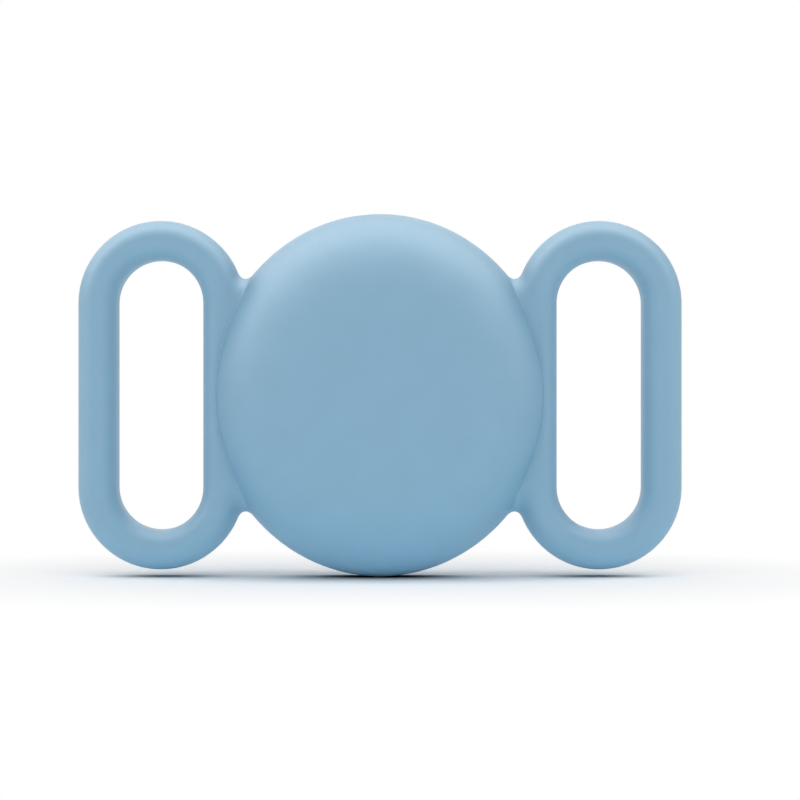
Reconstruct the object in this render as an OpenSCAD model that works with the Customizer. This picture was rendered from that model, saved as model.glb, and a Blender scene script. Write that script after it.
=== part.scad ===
// Slide-on strap holder for a round tracker tag, with the tag that it carries.
// Each piece is drawn lying on the holder's back face, with its height towards the domed front,
// and is then stood up: X runs along the strap, Z is up and the front looks along -Y.
// The origin is on the axis of the disc, in the plane of its back face.

/* [Holder disc] */
// Silicone beside the tag, at the left and right of the disc
side_wall = 1.48; // [1:0.01:3]
// Silicone above and below the tag
end_wall = 2.63; // [1:0.01:4]
// Silicone in front of the tag, at the crown
front_wall = 1.8; // [1.5:0.1:4]
// Height of the straight band round the disc, above the back face
band_h = 2.2; // [2:0.1:3]
// Radius of the flat middle of the dome's crown
crown_flat_r = 6; // [4:0.5:7]
// Fullness of the dome's shoulder, between the band and the flat of the crown
crown_power = 1.75; // [1.6:0.05:2.4]
// Radius of the disc's back edge
disc_back_r = 1.2; // [0.8:0.1:1.6]
// Room between the tag and its pocket
pocket_gap = 0.12; // [0.05:0.01:0.2]

/* [Strap loops] */
// Width of a strap slot, for the strap's thickness to pass at a slant
slot_w = 8.85; // [7:0.05:11]
// Height of a strap slot, for a 25 mm strap
slot_h = 27.8; // [26:0.1:31]
// Width of the bar round a slot
bar_w = 4.1; // [3.4:0.05:5]
// Thickness of a loop, from the back face
loop_t = 4.8; // [4:0.1:6]
// Silicone between the disc's widest point and a slot
slot_wall = 0.65; // [0.4:0.05:1.5]
// Width of the rounding of a bar's front edge, outside
bar_outer_w = 2.1; // [1:0.1:2.2]
// Height of the rounding of a bar's front edge, outside
bar_outer_h = 2.8; // [1:0.1:3.2]
// Width of the rounding of a bar's front edge, at the slot
bar_slot_w = 1.25; // [0.6:0.05:1.4]
// Height of the rounding of a bar's front edge, at the slot
bar_slot_h = 1.8; // [0.8:0.1:2.4]
// Rounding of a bar's back edges
bar_back_r = 0.9; // [0.5:0.1:1.2]

/* [Notch webs] */
// Radius of the web that fills a notch between disc and loop
notch_r = 0.75; // [0.5:0.05:1]
// Thickness of a web
web_t = 2.6; // [1.5:0.1:3]
// Setback of a web from the back face
web_back = 0.7; // [0.4:0.1:1]

/* [Rear opening] */
// Thickness of the retaining lip
lip_t = 1.2; // [1:0.1:1.8]
// Room between the lip's edge and the steel cover
lip_gap = 0.3; // [0.2:0.05:1]
// Rounding of the lip's edge
lip_edge_r = 0.4; // [0.2:0.05:0.45]
// Room between the lip and the tag's rim
seat_gap = 0.1; // [0.05:0.01:0.2]

/* [Tag shell] */
// Width of the shell's rim round the carrier
rim_land = 0.5; // [0.4:0.05:0.8]
// Height of the tag's widest level above its steel cover
tag_widest = 3.4; // [3.2:0.1:3.8]
// How far the steel cover stands proud of the tag's rim
cover_rise = 0.7; // [0.5:0.05:0.8]
// How far the tag's rim is drawn in at the back
rim_inset = 1.25; // [1:0.05:1.4]
// Thickness of the shell at its crown
shell_front = 1; // [0.8:0.05:1.2]
// Depth of the domed part of the shell's cavity
cavity_dome = 2.6; // [2.4:0.1:2.8]

/* [Battery cover] */
// Thickness of the steel sheet
cover_sheet = 0.35; // [0.25:0.05:0.4]
// Depth of the dished cover
cover_depth = 0.9; // [0.8:0.05:1]
// Room between the steel cover and the cell
cover_gap = 0.2; // [0.1:0.05:0.3]
// Thickness of the latch ring's wall
latch_wall = 1.5; // [1.3:0.1:1.7]
// Room between the latch ring and the wall round the cell
latch_gap = 0.25; // [0.15:0.05:0.4]
// How far the latch ring's spigot stands in from the cover's edge
spigot_inset = 0.7; // [0.6:0.05:0.9]
// Height of the latch ring under the cover's rim
latch_h = 2.3; // [2.1:0.1:2.5]
// Reach of a latch tab beyond the ring
tab_reach = 0.75; // [0.5:0.05:0.8]
// Thickness of a latch tab
tab_t = 0.65; // [0.4:0.05:0.7]
// Angle that a latch tab spans
tab_span = 12; // [8:1:13]
// Number of latch tabs
tab_count = 3; // [2:1:4]
// Angle that the cover turns to unlock
unlock_turn = 20; // [16:1:24]
// Section radius of the cover's seal
seal_r = 0.38; // [0.3:0.01:0.42]

/* [Inner carrier] */
// Thickness of the rim flange that the latch tabs hold under
flange_t = 0.4; // [0.3:0.05:0.5]
// Thickness of the carrier's floor
floor_t = 0.5; // [0.4:0.05:0.8]
// Thickness of the wall round the cell
tray_wall = 0.7; // [0.5:0.05:0.7]
// Height of the wall round the cell
tray_h = 2.6; // [1.5:0.1:2.8]
// Room between the cell and its wall
tray_gap = 0.25; // [0.22:0.01:0.3]
// Width of the carrier outside the track that the latch tabs run in
track_wall = 0.55; // [0.4:0.05:0.8]

/* [Coin cell] */
// Diameter of the cell
cell_d = 20; // [19.6:0.1:20]
// Thickness of the cell
cell_t = 3.2; // [3:0.1:3.4]
// Thickness of the cell's steel
cell_sheet = 0.25; // [0.2:0.01:0.3]
// Width of the gasket between can and cap
gasket_w = 0.7; // [0.5:0.05:0.9]
// Rounding of the can's edges
can_edge_r = 0.4; // [0.3:0.05:0.5]

/* [Contacts] */
// Height of the spring contacts between cell and floor
contact_h = 0.45; // [0.4:0.05:0.55]
// Thickness of the contact sheet
contact_sheet = 0.12; // [0.08:0.01:0.15]
// Angle that a side contact spans
contact_span = 22; // [14:1:30]
// Width of a contact's tail
tail_w = 1.4; // [1:0.1:1.8]
// How far the side contacts' tails stand outside the wall round the cell
tail_reach = 0.85; // [0.5:0.05:1]
// Distance of each tail from the board's edge
tail_inset = 0.48; // [0.3:0.02:0.6]

/* [Electronics] */
// Thickness of the ring-shaped circuit board
board_t = 0.6; // [0.5:0.05:0.8]
// Radius of the notches in the board's edge
board_notch_r = 0.5; // [0.3:0.05:0.7]
// Height of the parts on the board
chip_h = 0.55; // [0.3:0.05:0.6]
// Side of the processor
processor_w = 4.2; // [3:0.1:4.4]
// Side of the radio chip
radio_w = 3.6; // [2.5:0.1:4]
// Width of the motion sensor
sensor_w = 2.6; // [2:0.1:3]
// Size of the shield can along the radius
shield_w = 4.8; // [4:0.1:5]
// Size of the shield can across the radius
shield_l = 6.4; // [5:0.1:6.6]
// Thickness of the shield can's sheet
shield_sheet = 0.15; // [0.1:0.01:0.2]
// Length of a small board part
speck_l = 1; // [0.6:0.1:1.2]
// Width of a small board part
speck_w = 0.5; // [0.3:0.05:0.6]
// Height of a small board part
speck_h = 0.35; // [0.2:0.05:0.5]
// Number of small parts in each group on the board
speck_count = 4; // [2:1:5]
// Width of the antenna ring
antenna_w = 1.1; // [0.6:0.1:1.2]
// Thickness of the antenna ring
antenna_t = 0.15; // [0.1:0.01:0.2]
// Room between the antenna ring and the shell
antenna_gap = 0.3; // [0.2:0.05:0.4]

/* [Speaker] */
// Height of the magnet cup
cup_h = 1.3; // [1.1:0.1:1.5]
// Thickness of the cup's wall
cup_wall = 0.5; // [0.3:0.05:0.6]
// Thickness of the cup's floor
cup_floor = 0.3; // [0.2:0.05:0.4]
// Room between the magnet cup and the board
cup_gap = 0.5; // [0.3:0.05:0.6]
// Diameter of the magnet
magnet_d = 7.2; // [6:0.1:7.6]
// Room on each side of the voice coil
coil_gap = 0.475; // [0.3:0.025:0.6]
// Thickness of the voice coil
coil_wall = 0.75; // [0.5:0.05:0.8]
// How far the voice coil dips into the cup
coil_dip = 0.6; // [0.3:0.05:0.7]
// Room between the magnet cup and the shell
diaphragm_gap = 1; // [0.8:0.05:1.3]

/* [Hidden] */

silicone = [0.52, 0.67, 0.77];
white_plastic = [0.93, 0.93, 0.92];
steel = [0.76, 0.77, 0.78];
magnet_grey = [0.45, 0.46, 0.48];
copper = [0.78, 0.5, 0.3];
gold = [0.85, 0.69, 0.38];
board_green = [0.1, 0.32, 0.24];
chip_black = [0.12, 0.12, 0.13];
speck_tan = [0.66, 0.58, 0.46];
rubber_black = [0.14, 0.14, 0.15];
pellet_grey = [0.28, 0.28, 0.29];

// How far a cutting solid runs past the face that it cuts
overrun = 1;
// Gap that keeps two touching pieces from sharing a face
touch = 0.02;
// Running clearance of the cover in its seat
run_gap = 0.05;
// Room between the latch tabs and what they turn past
tab_gap = 0.15;
// Exponents of the curves of the tag's dome, its back edge and its dished cover
dome_power = 2.5;
rim_power = 2.2;
dish_power = 4;
round_fn = 96;

// Faces round the oval disc, and steps along its back edge and its dome
oval_sides = 56;
back_steps = 3;
crown_steps = 13;
// Steps along a small rounded edge, a bar's outer and slot edges, and the tag's rim
edge_steps = 4;
bar_outer_steps = 7;
bar_slot_steps = 5;
rim_steps = 8;
// Angle on the rim's curve where the lip's bed leaves the pocket's wall
bed_from = 30;

// Radii of the tag, from the coin cell outwards
cell_r = cell_d / 2;
leaf_r = cell_r + touch;
tray_r = cell_r + tray_gap;
tray_outer_r = tray_r + tray_wall;
latch_r = tray_outer_r + latch_gap;
cover_r = latch_r + latch_wall;
seal_mid_r = cover_r + seal_r / 2;
track_r = cover_r + tab_reach + tab_gap;
carrier_r = track_r + track_wall;
cavity_r = carrier_r + run_gap;
rim_r = cavity_r + rim_land;
tag_r = rim_r + rim_inset;

// Radii of the speaker, and of the board round it
magnet_r = magnet_d / 2;
coil_bore_r = magnet_r + coil_gap;
coil_r = coil_bore_r + coil_wall;
cup_bore_r = coil_r + coil_gap;
cup_r = cup_bore_r + cup_wall;
board_hole_r = cup_r + cup_gap;
negative_tail_r = board_hole_r + tail_inset;
tail_r = tray_outer_r + tail_reach;
board_r = tail_r + contact_sheet + tail_inset;
part_r = (board_hole_r + board_r) / 2;

// Heights of the tag's levels above the holder's back face
rim_z = lip_t + seat_gap;
tag_back_z = rim_z - cover_rise;
widest_z = tag_back_z + tag_widest;
cover_rim_z = tag_back_z + cover_depth;
latch_top_z = cover_rim_z + latch_h;
track_z = rim_z + flange_t;
track_top_z = track_z + tab_t + 2 * tab_gap;
cell_back_z = tag_back_z + cover_sheet + cover_gap;
cell_front_z = cell_back_z + cell_t;
can_top_z = cell_front_z - cell_sheet;
cap_r = cell_r - cell_sheet - gasket_w;
floor_z = cell_front_z + contact_h;
board_z = floor_z + floor_t;
chip_z = board_z + board_t;
cup_top_z = board_z + cup_h;
cavity_top_z = cup_top_z + diaphragm_gap;
cavity_dome_z = cavity_top_z - cavity_dome;
tag_front_z = cavity_top_z + shell_front;
dome_h = tag_front_z - widest_z;

// The holder's outline and its pocket
pocket_r = tag_r + pocket_gap;
pocket_top_z = tag_front_z + pocket_gap;
disc_t = pocket_top_z + front_wall;
crown_rise = disc_t - band_h;
disc_r = pocket_r + side_wall;
oval_stretch = (pocket_r + end_wall) / disc_r;
opening_r = cover_r + lip_gap;
loop_x = disc_r + slot_wall + slot_w / 2;
loop_r = slot_w / 2 + bar_w;
end_z = slot_h / 2 - slot_w / 2;

// Where on the board each part sits, as an angle
processor_at = 120;
radio_at = 200;
sensor_at = 262;
shield_at = 0;
specks_at = [50, 152, 220, 296];
speck_step = 8;
antenna_open = 30;
board_notches_at = [80, 200, 320];
contacts_at = [60, 240];
negative_tail_at = 150;
// Hole, tip and bend of the spring washer, as shares of its radius
washer_shares = [0.17, 0.33, 0.75];
// Reach of a notch web into its neighbours and inwards, as shares of the notch radius
web_shares = [2, 4];
// Spare angle of a notch or window beyond what passes through it
notch_room = 3;

function arc(centre, r, from, to, steps) = [
  for (i = [0 : steps])
    let (a = from + (to - from) * i / steps)
      [centre[0] + r * cos(a), centre[1] + r * sin(a)]
];

// A quarter of a superellipse, from its side to its top
function quarter(centre, a, b, power, steps = 16, from = 0) = [
  for (i = [0 : steps])
    let (t = from + (90 - from) * i / steps)
      [centre[0] + a * cos(t) ^ (2 / power), centre[1] + b * sin(t) ^ (2 / power)]
];

// How high that curve stands at a distance from its centre
function quarter_rise(r, a, b, power) = b * (1 - (r / a) ^ power) ^ (1 / power);

// The angle that a width spans at a radius
function span_of(width, r) = width / r * 180 / PI;

function reversed(list) = [for (i = [len(list) - 1 : -1 : 0]) list[i]];

// The disc's half section, from the centre of its back to the middle of its crown
function disc_section() = concat(
  [[0, 0]],
  arc([disc_r - disc_back_r, disc_back_r], disc_back_r, -90, 0, back_steps),
  [for (i = [0 : crown_steps])
    let (t = 90 * i / crown_steps)
      [crown_flat_r + (disc_r - crown_flat_r) * cos(t) ^ (2 / crown_power), band_h + crown_rise * sin(t)]],
  [[0, disc_t]]
);

// The outline of the disc, and its outward direction, at an angle round the oval
function oval_point(a) = [disc_r * cos(a), disc_r * oval_stretch * sin(a)];
function oval_normal(a) =
  let (n = [oval_stretch * cos(a), sin(a)])
    n / norm(n);
function oval_offset(a, gap) = oval_point(a) + gap * oval_normal(a);

// How far a point is from the centre line of the right-hand loop
function spine_point(p) = [loop_x, max(-end_z, min(end_z, p[1]))];
function spine_distance(p) = norm(p - spine_point(p));

// Halves the interval until a circle of notch_r rolls on both the disc and the loop
function notch_angle(low, high, steps = 30) =
  let (mid = (low + high) / 2)
    steps == 0 ? mid
    : spine_distance(oval_offset(mid, notch_r)) > loop_r + notch_r ? notch_angle(low, mid, steps - 1)
    : notch_angle(mid, high, steps - 1);

// Stands a drawn piece up, with its height towards the front
module stood() {
  rotate([90, 0, 0]) children();
}

module revolved(angle = 360) {
  rotate_extrude(angle = angle, $fn = round_fn) children();
}

// A ring round the axis, or a sector of one that is centred on the X axis
module ring(inner, outer, low, high, span = 360) {
  rotate([0, 0, span < 360 ? -span / 2 : 0])
    revolved(span)
      translate([inner, low]) square([outer - inner, high - low]);
}

module at_angle(angle, radius = 0) {
  rotate([0, 0, angle]) translate([radius, 0, 0]) children();
}

// A smooth shell through oval rings that follow a half section
module oval_loft(section, stretch, sides) {
  rings = len(section) - 2;
  ring_points = [
    for (q = [1 : rings], k = [0 : sides - 1])
      let (a = 360 * k / sides)
        [section[q][0] * cos(a), section[q][0] * stretch * sin(a), section[q][1]]
  ];
  crown = rings * sides + 1;
  function corner(q, k) = 1 + q * sides + k % sides;
  polyhedron(
    points = concat([[0, 0, section[0][1]]], ring_points, [[0, 0, section[rings + 1][1]]]),
    faces = concat(
      [for (k = [0 : sides - 1]) [0, corner(0, k), corner(0, k + 1)]],
      [for (q = [0 : rings - 2], k = [0 : sides - 1])
        [corner(q, k), corner(q + 1, k), corner(q + 1, k + 1)]],
      [for (q = [0 : rings - 2], k = [0 : sides - 1])
        [corner(q, k), corner(q + 1, k + 1), corner(q, k + 1)]],
      [for (k = [0 : sides - 1]) [corner(rings - 1, k), crown, corner(rings - 1, k + 1)]]
    )
  );
}

// A bar's rounded front edge, from its side to its front face, as distances from that side and heights
function bar_edge(width, height, steps) = [
  for (i = [0 : steps])
    let (t = 90 * i / steps)
      [width * (1 - cos(t)), loop_t - height * (1 - sin(t))]
];

// The bar's section, with the slot at its left and the back face at its foot
module bar_section() {
  polygon(concat(
    arc([bar_back_r, bar_back_r], bar_back_r, 180, 270, edge_steps),
    arc([bar_w - bar_back_r, bar_back_r], bar_back_r, 270, 360, edge_steps),
    [for (p = bar_edge(bar_outer_w, bar_outer_h, bar_outer_steps)) [bar_w - p[0], p[1]]],
    reversed(bar_edge(bar_slot_w, bar_slot_h, bar_slot_steps))
  ));
}

// One strap loop: two straight bars joined by two half rings
module strap_loop() {
  for (turn = [0, 180])
    rotate([0, 0, turn]) {
      translate([0, end_z, 0])
        revolved(180)
          translate([slot_w / 2, 0]) bar_section();
      translate([slot_w / 2, end_z, 0])
        rotate([90, 0, 0])
          linear_extrude(2 * end_z) bar_section();
    }
}

// The thin web in the notch above the right-hand loop
module notch_web() {
  angle = notch_angle(0, 90);
  centre = oval_offset(angle, notch_r);
  spine = spine_point(centre);
  to_loop = (spine - centre) / norm(spine - centre);
  loop_side = centre + web_shares[0] * notch_r * to_loop;
  disc_side = centre - web_shares[0] * notch_r * oval_normal(angle);
  inward = ((loop_side + disc_side) / 2 - centre) / norm((loop_side + disc_side) / 2 - centre);
  translate([0, 0, web_back])
    difference() {
      linear_extrude(web_t)
        polygon([centre, disc_side, centre + web_shares[1] * notch_r * inward, loop_side]);
      translate([centre[0], centre[1], -overrun])
        cylinder(r = notch_r + touch, h = web_t + 2 * overrun, $fn = round_fn);
    }
}

// The pocket follows the tag's dome and runs straight back from its widest level
module pocket_cut() {
  revolved()
    polygon(concat(
      [[0, -overrun], [pocket_r, -overrun]],
      quarter([0, widest_z], pocket_r, dome_h + pocket_gap, dome_power)
    ));
}

module holder_body() {
  color(silicone)
    stood()
      difference() {
        union() {
          oval_loft(disc_section(), oval_stretch, oval_sides);
          for (side = [0, 1])
            mirror([side, 0, 0]) {
              translate([loop_x, 0, 0]) strap_loop();
              for (end = [0, 1])
                mirror([0, end, 0]) notch_web();
            }
        }
        pocket_cut();
      }
}

// The ring of silicone behind the tag, which stretches when the tag goes through it
module retaining_lip() {
  bed_h = widest_z - lip_t;
  bed = quarter([rim_r, -widest_z], rim_inset + pocket_gap, bed_h, rim_power, rim_steps, bed_from);
  color(silicone)
    stood()
      revolved()
        polygon(concat(
          arc([opening_r + lip_edge_r, lip_edge_r], lip_edge_r, 180, 270, edge_steps),
          [[pocket_r - touch, 0], [pocket_r - touch, -bed[0][1]]],
          [for (p = bed) [min(p[0], pocket_r - 2 * touch), -p[1]]],
          arc([opening_r + lip_edge_r, lip_t - lip_edge_r], lip_edge_r, 90, 180, edge_steps)
        ));
}

// The outside of the tag's plastic, without its steel cover
function shell_outline() = concat(
  [for (p = reversed(quarter([rim_r, -widest_z], rim_inset, widest_z - rim_z, rim_power, rim_steps)))
    [p[0], -p[1]]],
  [for (p = quarter([0, widest_z], tag_r, dome_h, dome_power)) if (p[1] > widest_z) p]
);

module front_shell() {
  color(white_plastic)
    stood()
      revolved()
        polygon(concat(
          [[cavity_r, rim_z]],
          shell_outline(),
          reversed(quarter([0, cavity_dome_z], cavity_r, cavity_dome, dome_power))
        ));
}

module inner_carrier() {
  flange_r = cover_r + tab_gap;
  seal_seat_r = seal_mid_r + seal_r + run_gap;
  color(white_plastic)
    stood()
      difference() {
        revolved()
          polygon([
            [0, floor_z], [tray_r, floor_z],
            [tray_r, floor_z - tray_h], [tray_outer_r, floor_z - tray_h],
            [tray_outer_r, floor_z], [seal_seat_r, floor_z],
            [seal_seat_r, track_top_z], [track_r, track_top_z],
            [track_r, track_z], [flange_r, track_z],
            [flange_r, rim_z], [carrier_r, rim_z],
            [carrier_r, board_z], [0, board_z]
          ]);
        // The tabs drop in through these notches and then turn under the flange
        for (i = [0 : tab_count - 1])
          at_angle(360 * i / tab_count + unlock_turn)
            ring(cover_r, track_r - touch, rim_z - overrun, track_z + tab_t, tab_span + notch_room);
        // The wall round the cell opens at each side contact
        for (a = contacts_at)
          at_angle(a)
            ring(cell_r, tray_outer_r + touch,
              floor_z - tray_h - overrun, floor_z + touch, contact_span + notch_room);
        // The contacts' tails go through the floor to the board
        for (a = contacts_at)
          at_angle(a)
            tail_slot(tail_r);
        at_angle(negative_tail_at)
          tail_slot(negative_tail_r);
      }
}

module tail_slot(r) {
  ring(r - tab_gap, r + contact_sheet + tab_gap,
    floor_z - overrun, board_z + overrun, span_of(tail_w + 2 * tab_gap, r));
}

module antenna_ring() {
  antenna_r = cavity_r - antenna_gap;
  color(copper)
    stood()
      ring(antenna_r - antenna_w, antenna_r, board_z, board_z + antenna_t, 360 - antenna_open);
}

module circuit_board() {
  color(board_green)
    stood()
      difference() {
        ring(board_hole_r, board_r, board_z, chip_z);
        for (a = board_notches_at)
          at_angle(a, board_r)
            translate([0, 0, board_z - overrun])
              cylinder(r = board_notch_r, h = board_t + 2 * overrun, $fn = round_fn);
      }
}

module chip(side, angle) {
  at_angle(angle, part_r)
    translate([-side / 2, -side / 2, chip_z])
      cube([side, side, chip_h]);
}

module processor_chip() {
  color(chip_black) stood() chip(processor_w, processor_at);
}

module radio_chip() {
  color(chip_black) stood() chip(radio_w, radio_at);
}

module motion_sensor() {
  color(chip_black) stood() chip(sensor_w, sensor_at);
}

module shield_can() {
  color(steel)
    stood()
      at_angle(shield_at, part_r)
        translate([0, 0, chip_z])
          difference() {
            translate([-shield_w / 2, -shield_l / 2, 0])
              cube([shield_w, shield_l, chip_h]);
            translate([shield_sheet - shield_w / 2, shield_sheet - shield_l / 2, -overrun])
              cube([shield_w - 2 * shield_sheet, shield_l - 2 * shield_sheet,
                chip_h - shield_sheet + overrun]);
          }
}

module board_parts() {
  color(speck_tan)
    stood()
      for (group = specks_at, i = [0 : speck_count - 1])
        at_angle(group + speck_step * i, part_r + (i % 2 == 0 ? speck_l : -speck_l))
          translate([-speck_l / 2, -speck_w / 2, chip_z])
            cube([speck_l, speck_w, speck_h]);
}

module magnet_cup() {
  color(steel)
    stood() {
      ring(cup_bore_r, cup_r, board_z, cup_top_z);
      ring(0, cup_r, board_z, board_z + cup_floor);
    }
}

module speaker_magnet() {
  color(magnet_grey) stood() ring(0, magnet_r, board_z + cup_floor, cup_top_z);
}

// The coil hangs from the shell, which is the speaker's diaphragm
module voice_coil() {
  coil_top_z = cavity_dome_z + quarter_rise(coil_r, cavity_r, cavity_dome, dome_power) - run_gap;
  color(copper)
    stood()
      ring(coil_bore_r, coil_r, cup_top_z - coil_dip, coil_top_z);
}

// A dished spring washer that presses on the cap, with a tail to the board
module negative_contact() {
  washer_r = negative_tail_r + 2 * contact_sheet;
  hole_r = washer_r * washer_shares[0];
  tip_r = washer_r * washer_shares[1];
  bend_r = washer_r * washer_shares[2];
  tip_z = cell_front_z + touch;
  color(gold)
    stood() {
      revolved()
        polygon([
          [hole_r, tip_z], [tip_r, tip_z],
          [bend_r, floor_z - contact_sheet - touch], [washer_r, floor_z - contact_sheet - touch],
          [washer_r, floor_z - touch], [bend_r - contact_sheet, floor_z - touch],
          [tip_r - contact_sheet, tip_z + contact_sheet], [hole_r, tip_z + contact_sheet]
        ]);
      at_angle(negative_tail_at)
        ring(negative_tail_r, negative_tail_r + contact_sheet,
          floor_z - contact_sheet, board_z - touch, span_of(tail_w, negative_tail_r));
    }
}

// Two leaves that press on the side of the can, each with a tail to the board
module positive_contacts() {
  color(gold)
    stood()
      for (a = contacts_at)
        at_angle(a) {
          ring(leaf_r, leaf_r + contact_sheet, cell_front_z - cell_t / 2, floor_z, contact_span);
          ring(leaf_r, tail_r + contact_sheet, floor_z - contact_sheet, floor_z, contact_span);
          ring(tail_r, tail_r + contact_sheet, floor_z - contact_sheet, board_z, span_of(tail_w, tail_r));
        }
}

// The can's crimped edge turns in over the gasket
module cell_can() {
  color(steel)
    stood() {
      revolved()
        polygon(concat(
          [[0, cell_back_z]],
          arc([cell_r - can_edge_r, cell_back_z + can_edge_r], can_edge_r, -90, 0, edge_steps),
          arc([cell_r - can_edge_r, can_top_z - can_edge_r], can_edge_r, 0, 90, edge_steps),
          [
            [cell_r - can_edge_r - cell_sheet, can_top_z],
            [cell_r - can_edge_r - cell_sheet, can_top_z - cell_sheet],
            [cell_r - can_edge_r, can_top_z - cell_sheet],
            [cell_r - cell_sheet, can_top_z - can_edge_r],
            [cell_r - cell_sheet, cell_back_z + can_edge_r],
            [cell_r - can_edge_r, cell_back_z + cell_sheet],
            [0, cell_back_z + cell_sheet]
          ]
        ));
    }
}

module cell_gasket() {
  low = cell_back_z + cell_sheet;
  color(rubber_black)
    stood()
      revolved()
        polygon([
          [cap_r + touch, low],
          [cell_r - can_edge_r - touch, low],
          [cell_r - cell_sheet - touch, cell_back_z + can_edge_r],
          [cell_r - cell_sheet - touch, can_top_z - can_edge_r],
          [cell_r - can_edge_r - touch, can_top_z - cell_sheet - touch],
          [cell_r - can_edge_r - cell_sheet - touch, can_top_z - cell_sheet - touch],
          [cell_r - can_edge_r - cell_sheet - touch, can_top_z],
          [cap_r + touch, can_top_z]
        ]);
}

module cell_cap() {
  foot = cell_back_z + 2 * cell_sheet;
  color(steel)
    stood()
      revolved()
        polygon(concat(
          [[cap_r - cell_sheet, foot], [cap_r, foot]],
          arc([cap_r - can_edge_r, cell_front_z - can_edge_r], can_edge_r, 0, 90, edge_steps),
          [
            [0, cell_front_z],
            [0, cell_front_z - cell_sheet],
            [cap_r - can_edge_r, cell_front_z - cell_sheet],
            [cap_r - cell_sheet, cell_front_z - can_edge_r]
          ]
        ));
}

module cell_core() {
  color(pellet_grey)
    stood()
      ring(0, cap_r - cell_sheet - gasket_w, cell_back_z + cell_sheet, cell_front_z - cell_sheet - touch);
}

// The dished steel cover, which a thumb turns from the back
module battery_cover() {
  color(steel)
    stood()
      revolved()
        polygon([
          for (p = concat(
            quarter([0, 0], cover_r, cover_depth, dish_power),
            reversed(quarter([0, 0], cover_r - cover_sheet, cover_depth - cover_sheet, dish_power))
          )) [p[0], cover_rim_z - p[1]]
        ]);
}

module latch_ring() {
  spigot_r = cover_r - spigot_inset;
  spigot_h = quarter_rise(spigot_r, cover_r - cover_sheet, cover_depth - cover_sheet, dish_power);
  spigot_z = cover_rim_z - spigot_h + touch;
  tab_z = track_z + tab_gap;
  color(white_plastic)
    stood()
      difference() {
        union() {
          revolved()
            polygon([
              [latch_r, spigot_z], [spigot_r - touch, spigot_z],
              [spigot_r - touch, cover_rim_z], [cover_r, cover_rim_z],
              [cover_r, latch_top_z], [latch_r, latch_top_z]
            ]);
          for (i = [0 : tab_count - 1])
            at_angle(360 * i / tab_count)
              ring(spigot_r, cover_r + tab_reach, tab_z, tab_z + tab_t, tab_span);
        }
        seal_ring(seal_r + touch);
      }
}

// The seal's ring, half sunk in its groove
module seal_ring(section_r) {
  revolved()
    translate([seal_mid_r, latch_top_z - 2 * seal_r])
      circle(r = section_r, $fn = round_fn);
}

module cover_seal() {
  color(rubber_black) stood() seal_ring(seal_r);
}

holder_body();
retaining_lip();
front_shell();
inner_carrier();
antenna_ring();
circuit_board();
shield_can();
processor_chip();
radio_chip();
motion_sensor();
board_parts();
magnet_cup();
speaker_magnet();
voice_coil();
negative_contact();
positive_contacts();
cell_can();
cell_gasket();
cell_cap();
cell_core();
battery_cover();
latch_ring();
cover_seal();
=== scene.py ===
"""Looks of a soft strap holder for a round tracker tag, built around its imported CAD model.

Sizes in the classes are in millimetres, and MM turns them into Blender's metres. The holder lies in
the CAD frame: X runs along the strap, Z is up, the back face is the plane Y = 0 and the domed front
looks along -Y, so a height above the back face is -Y.
"""

import logging
import math
from collections.abc import Callable, Sequence
from dataclasses import dataclass, field
from enum import Enum

import bpy
import numpy as np
from mathutils import Matrix, Vector


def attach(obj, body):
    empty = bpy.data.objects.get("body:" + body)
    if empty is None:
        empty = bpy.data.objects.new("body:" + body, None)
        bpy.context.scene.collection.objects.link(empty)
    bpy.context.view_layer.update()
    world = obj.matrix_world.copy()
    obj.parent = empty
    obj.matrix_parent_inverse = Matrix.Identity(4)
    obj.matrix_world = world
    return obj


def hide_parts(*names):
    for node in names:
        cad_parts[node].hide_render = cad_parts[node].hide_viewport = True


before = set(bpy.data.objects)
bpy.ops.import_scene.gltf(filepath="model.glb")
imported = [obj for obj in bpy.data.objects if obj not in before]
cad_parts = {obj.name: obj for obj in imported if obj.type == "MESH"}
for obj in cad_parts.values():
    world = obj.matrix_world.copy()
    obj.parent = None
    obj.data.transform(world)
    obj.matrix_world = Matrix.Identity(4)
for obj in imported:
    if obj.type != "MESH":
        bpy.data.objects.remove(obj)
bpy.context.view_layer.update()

MM = 0.001
LOG = logging.getLogger("tag_holder")

# Where most values of a noise pattern lie
MIDDLE = (0.3, 0.7)
# Least divisors, which keep a distance field finite where its slope vanishes
LEAST_LENGTH = 1e-3
LEAST_SLOPE = 0.02
# Steps in which the spacing of grid lines is added up
SPACING_STEPS = 4000
# Places of the share and the two colours among a colour mix's inputs, and of its result
MIX_INPUTS = (0, 6, 7)
MIX_OUTPUT = 2

Array = np.ndarray
Field = Callable[[Array, Array, Array], Array]
Colour = tuple[float, float, float]
Amount = float | bpy.types.NodeSocket


class Body(Enum):
    """The CAD bodies that new pieces ride on. The CAD's own pieces ride on theirs already."""

    HOLDER = "holder"


class Wear(Enum):
    """How the fine marks on a metal run."""

    ROUND = "round the axis"
    RANDOM = "in all directions"


def linear(colour: Colour) -> tuple[float, float, float, float]:
    """Turns a colour as it is seen on a screen into Blender's linear values, by the sRGB curve.

    Args:
        colour: Red, green and blue from 0 to 1, as displayed.

    Returns:
        The linear red, green and blue, and an alpha of 1.
    """
    return (*[c / 12.92 if c <= 0.04045 else ((c + 0.055) / 1.055) ** 2.4 for c in colour], 1.0)


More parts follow.
